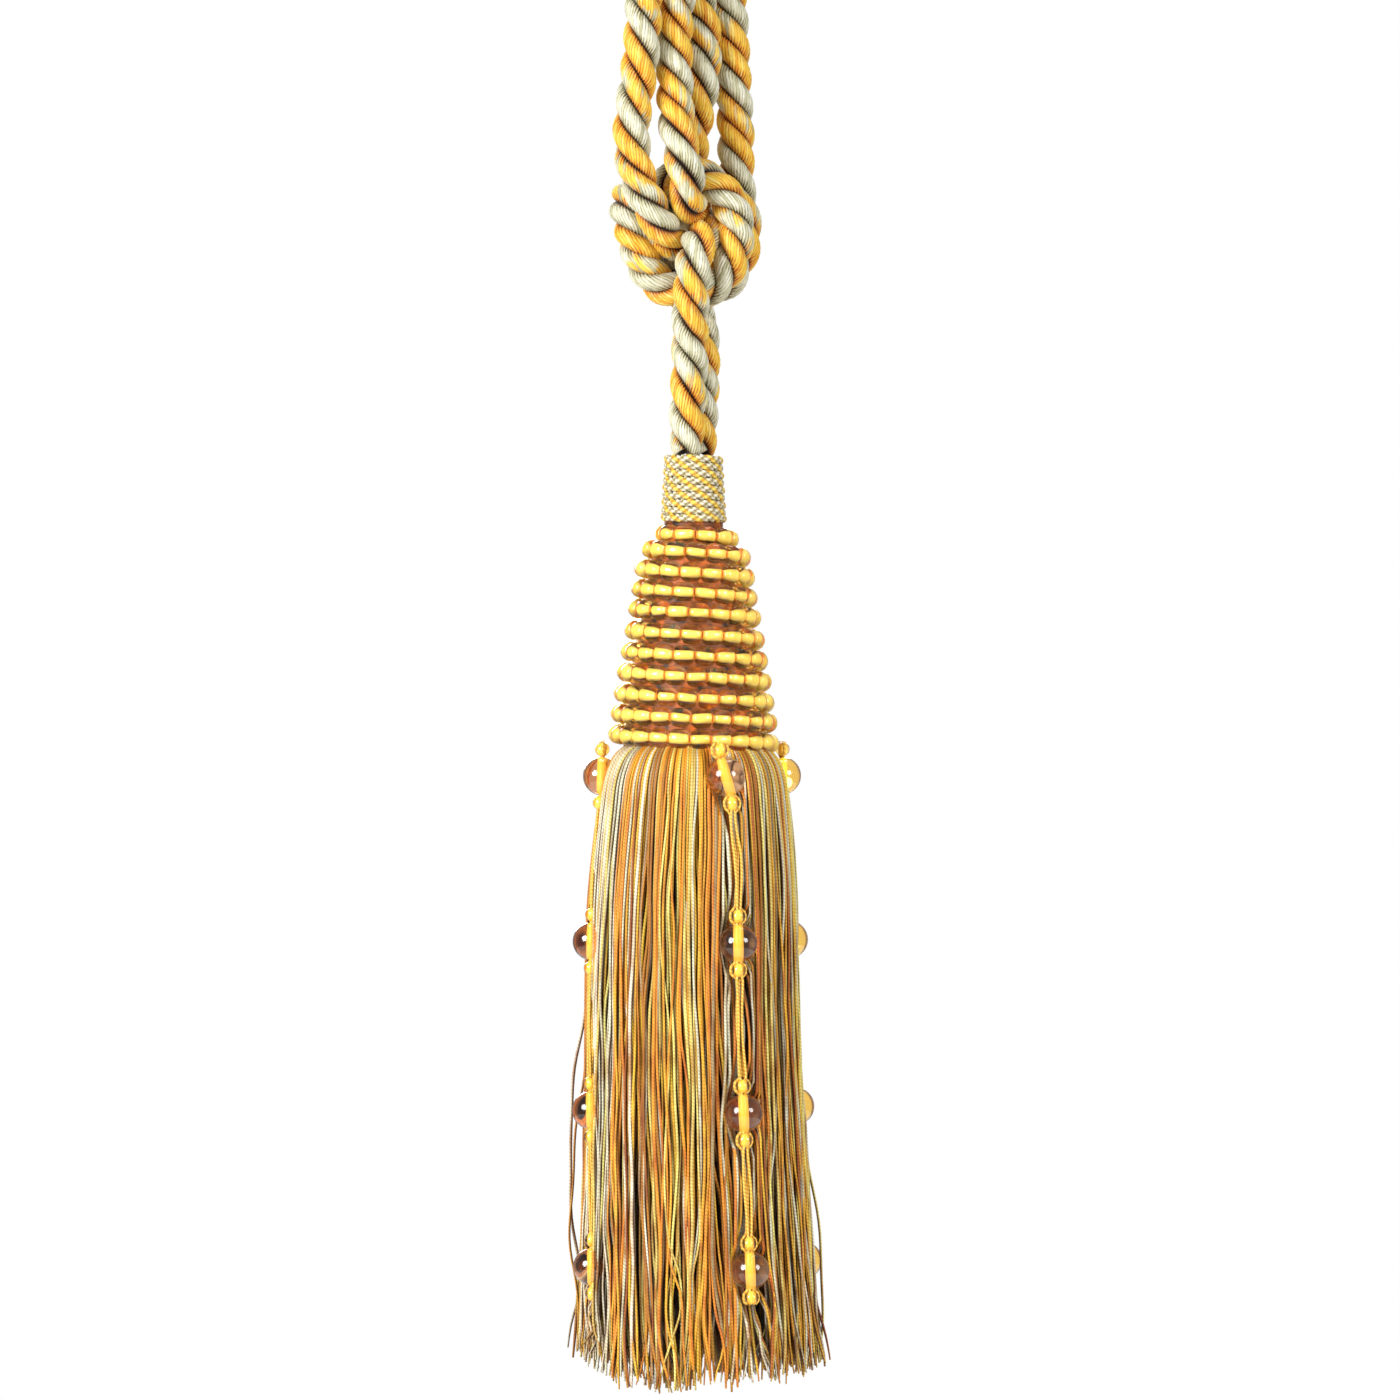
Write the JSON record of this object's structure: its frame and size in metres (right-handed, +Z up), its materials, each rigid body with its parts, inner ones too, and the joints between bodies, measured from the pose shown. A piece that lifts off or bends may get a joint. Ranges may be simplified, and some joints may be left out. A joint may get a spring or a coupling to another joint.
{
  "type": "tassel tieback",
  "caption": "Gold and silver twisted rope in hanging loops, knotted above a bead-wound tassel head with a long thread skirt and hanging drops of amber glass beads",
  "frame": {"origin": "the hang point at the top, on the underside of the rope's two loops, where the hook carries them", "axes": "+Z up, along the hanging tassel; +X to the right and -Y towards the viewer, with the front bead drop on the viewer's side"},
  "size_m": [0.0786, 0.0784, 0.5005],
  "materials": {
    "rope_yarn": "lustrous twisted viscose yarn, gold, silver-sage and mixed strands",
    "neck_cord": "fine two-colour metallic cord",
    "lined_glass_beads": "clear amber glass lined with opaque cream gold",
    "skirt_thread": "lustrous gold, cream, sage and burnt orange thread",
    "drop_thread": "gold thread with small gold glass beads",
    "drop_glass": "polished clear dark amber glass"
  },
  "bodies": {
    "root": {"rope": "rope_yarn", "neck_winding": "neck_cord", "bead_winding": "lined_glass_beads", "tassel_skirt": "skirt_thread", "drop_1_string": "drop_thread", "drop_1_bead_1": "drop_glass", "drop_1_bead_2": "drop_glass", "drop_1_bead_3": "drop_glass", "drop_1_bead_4": "drop_glass", "drop_2_string": "drop_thread", "drop_2_bead_1": "drop_glass", "drop_2_bead_2": "drop_glass", "drop_2_bead_3": "drop_glass", "drop_2_bead_4": "drop_glass", "drop_3_string": "drop_thread", "drop_3_bead_1": "drop_glass", "drop_3_bead_2": "drop_glass", "drop_3_bead_3": "drop_glass", "drop_3_bead_4": "drop_glass", "drop_4_string": "drop_thread", "drop_4_bead_1": "drop_glass", "drop_4_bead_2": "drop_glass", "drop_4_bead_3": "drop_glass", "drop_4_bead_4": "drop_glass"}
  },
  "joints": []
}
